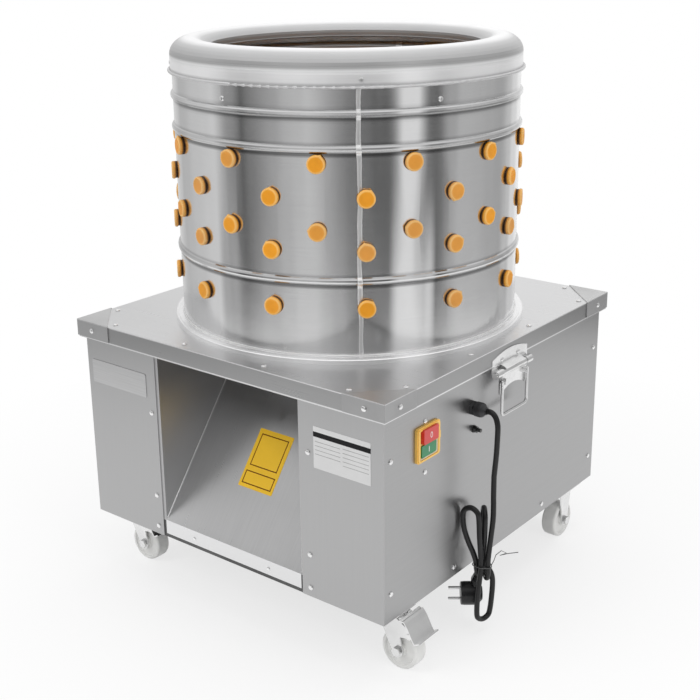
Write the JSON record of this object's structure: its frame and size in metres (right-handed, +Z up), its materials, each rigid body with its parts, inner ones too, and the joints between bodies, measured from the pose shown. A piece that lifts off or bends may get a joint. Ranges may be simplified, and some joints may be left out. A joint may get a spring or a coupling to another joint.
{
  "type": "poultry plucker",
  "caption": "Drum poultry plucker on castors: rubber-fingered drum over a driven finger plate, sheet-metal cabinet with a feather chute, side latches and a switch.",
  "frame": {"origin": "on the floor under the drum axis", "axes": "+Z up along the drum axis, -Y towards the chute side, +X towards the side with the switch"},
  "size_m": [0.7109, 0.6494, 0.8949],
  "materials": {
    "polished_steel": "polished stainless sheet",
    "satin_steel": "satin stainless sheet",
    "panel_steel": "satin stainless sheet",
    "zinc": "bright zinc plate",
    "dark_steel": "dark grey paint",
    "machined_steel": "machined",
    "finger_rubber": "amber moulded rubber",
    "black_rubber": "matt black",
    "black_plastic": "matt black",
    "yellow_plastic": "glossy",
    "red_plastic": "glossy",
    "green_plastic": "glossy",
    "white_nylon": "moulded nylon",
    "hose_steel": "braided steel hose",
    "brass": "machined"
  },
  "bodies": {
    "machine": {"base_frame": "dark_steel", "side_panel_right": "panel_steel", "side_panel_left": "panel_steel", "rear_panel": "panel_steel", "front_panel_left": "panel_steel", "front_panel_right": "panel_steel", "chute_walls": "panel_steel", "chute_floor": "satin_steel", "chute_header": "panel_steel", "top_tray": "satin_steel", "corner_caps": "satin_steel", "tray_screws": "zinc", "panel_screws": "zinc", "motor_beams": "dark_steel", "bearing_housing": "dark_steel", "bearings": "machined_steel", "motor_plate": "dark_steel", "motor_body": "dark_steel", "drive_bolts": "zinc", "drive_belt": "black_rubber", "drum_shell": "polished_steel", "drum_flange": "polished_steel", "drum_lid": "satin_steel", "drum_rivets": "zinc", "drum_fingers": "finger_rubber", "spray_hose": "hose_steel", "hose_clips": "zinc", "water_inlet": "brass", "switch_box": "black_plastic", "switch_frame": "yellow_plastic", "cable_gland": "black_plastic", "latch_plates": "zinc", "latch_pins": "zinc", "castor_plates": "zinc", "rear_forks": "zinc", "power_cord": "black_rubber", "cord_hank": "black_rubber", "cord_tie": "black_plastic", "plug": "black_plastic"},
    "rotor": {"feather_plate": "satin_steel", "plate_paddles": "satin_steel", "plate_fingers": "finger_rubber", "drive_shaft": "machined_steel", "driven_pulley": "dark_steel"},
    "motor_rotor": {"motor_shaft": "machined_steel", "motor_pulley": "dark_steel"},
    "stop_button": {"stop_button": "red_plastic"},
    "start_button": {"start_button": "green_plastic"},
    "latch_lever_right": {"latch_lever_right": "zinc"},
    "latch_lever_left": {"latch_lever_left": "zinc"},
    "latch_bail_right": {"latch_bail_right": "zinc"},
    "latch_bail_left": {"latch_bail_left": "zinc"},
    "front_fork_right": {"front_fork_right": "zinc"},
    "front_fork_left": {"front_fork_left": "zinc"},
    "front_wheel_right": {"front_wheel_right": "white_nylon"},
    "front_wheel_left": {"front_wheel_left": "white_nylon"},
    "rear_wheel_right": {"rear_wheel_right": "white_nylon"},
    "rear_wheel_left": {"rear_wheel_left": "white_nylon"},
    "brake_pedal_right": {"brake_pedal_right": "zinc"},
    "brake_pedal_left": {"brake_pedal_left": "zinc"}
  },
  "joints": [
    {"name": "plate_spin", "type": "hinge", "parent": "machine", "child": "rotor", "pos_m": [0, 0, 0.47], "axis": [0, 0, 1], "continuous": true},
    {"name": "motor_spin", "type": "hinge", "parent": "machine", "child": "motor_rotor", "pos_m": [0, 0.195, 0.335], "axis": [0, 0, 1], "continuous": true},
    {"name": "stop_press", "type": "slide", "parent": "machine", "child": "stop_button", "axis": [-1, 0, 0], "range_m": [0, 0.003], "stiffness_N_per_m": 400},
    {"name": "start_press", "type": "slide", "parent": "machine", "child": "start_button", "axis": [-1, 0, 0], "range_m": [0, 0.003], "stiffness_N_per_m": 400},
    {"name": "latch_lever_right_lift", "type": "hinge", "parent": "machine", "child": "latch_lever_right", "pos_m": [0.32, 0, 0.4065], "axis": [0, -1, 0], "range_deg": [0, 90]},
    {"name": "latch_bail_right_swing", "type": "hinge", "parent": "latch_lever_right", "child": "latch_bail_right", "pos_m": [0.324, 0, 0.393], "axis": [0, -1, 0], "range_deg": [0, 90]},
    {"name": "latch_lever_left_lift", "type": "hinge", "parent": "machine", "child": "latch_lever_left", "pos_m": [-0.32, 0, 0.4065], "axis": [0, 1, 0], "range_deg": [0, 90]},
    {"name": "latch_bail_left_swing", "type": "hinge", "parent": "latch_lever_left", "child": "latch_bail_left", "pos_m": [-0.324, 0, 0.393], "axis": [0, 1, 0], "range_deg": [0, 90]},
    {"name": "castor_swivel_right", "type": "hinge", "parent": "machine", "child": "front_fork_right", "pos_m": [0.273, -0.25, 0.09], "axis": [0, 0, 1], "continuous": true},
    {"name": "front_wheel_right_roll", "type": "hinge", "parent": "front_fork_right", "child": "front_wheel_right", "pos_m": [0.295, -0.25, 0.032], "axis": [0, 1, 0], "continuous": true},
    {"name": "brake_pedal_right_press", "type": "hinge", "parent": "front_fork_right", "child": "brake_pedal_right", "pos_m": [0.318, -0.25, 0.066], "axis": [0, 1, 0], "range_deg": [0, 12]},
    {"name": "rear_wheel_right_roll", "type": "hinge", "parent": "machine", "child": "rear_wheel_right", "pos_m": [0.273, 0.25, 0.032], "axis": [1, 0, 0], "continuous": true},
    {"name": "castor_swivel_left", "type": "hinge", "parent": "machine", "child": "front_fork_left", "pos_m": [-0.273, -0.25, 0.09], "axis": [0, 0, 1], "continuous": true},
    {"name": "front_wheel_left_roll", "type": "hinge", "parent": "front_fork_left", "child": "front_wheel_left", "pos_m": [-0.251, -0.25, 0.032], "axis": [0, 1, 0], "continuous": true},
    {"name": "brake_pedal_left_press", "type": "hinge", "parent": "front_fork_left", "child": "brake_pedal_left", "pos_m": [-0.228, -0.25, 0.066], "axis": [0, 1, 0], "range_deg": [0, 12]},
    {"name": "rear_wheel_left_roll", "type": "hinge", "parent": "machine", "child": "rear_wheel_left", "pos_m": [-0.273, 0.25, 0.032], "axis": [1, 0, 0], "continuous": true}
  ],
  "couplings": [
    {"joint": "motor_spin", "follows": "plate_spin", "ratio": 4.4444}
  ]
}
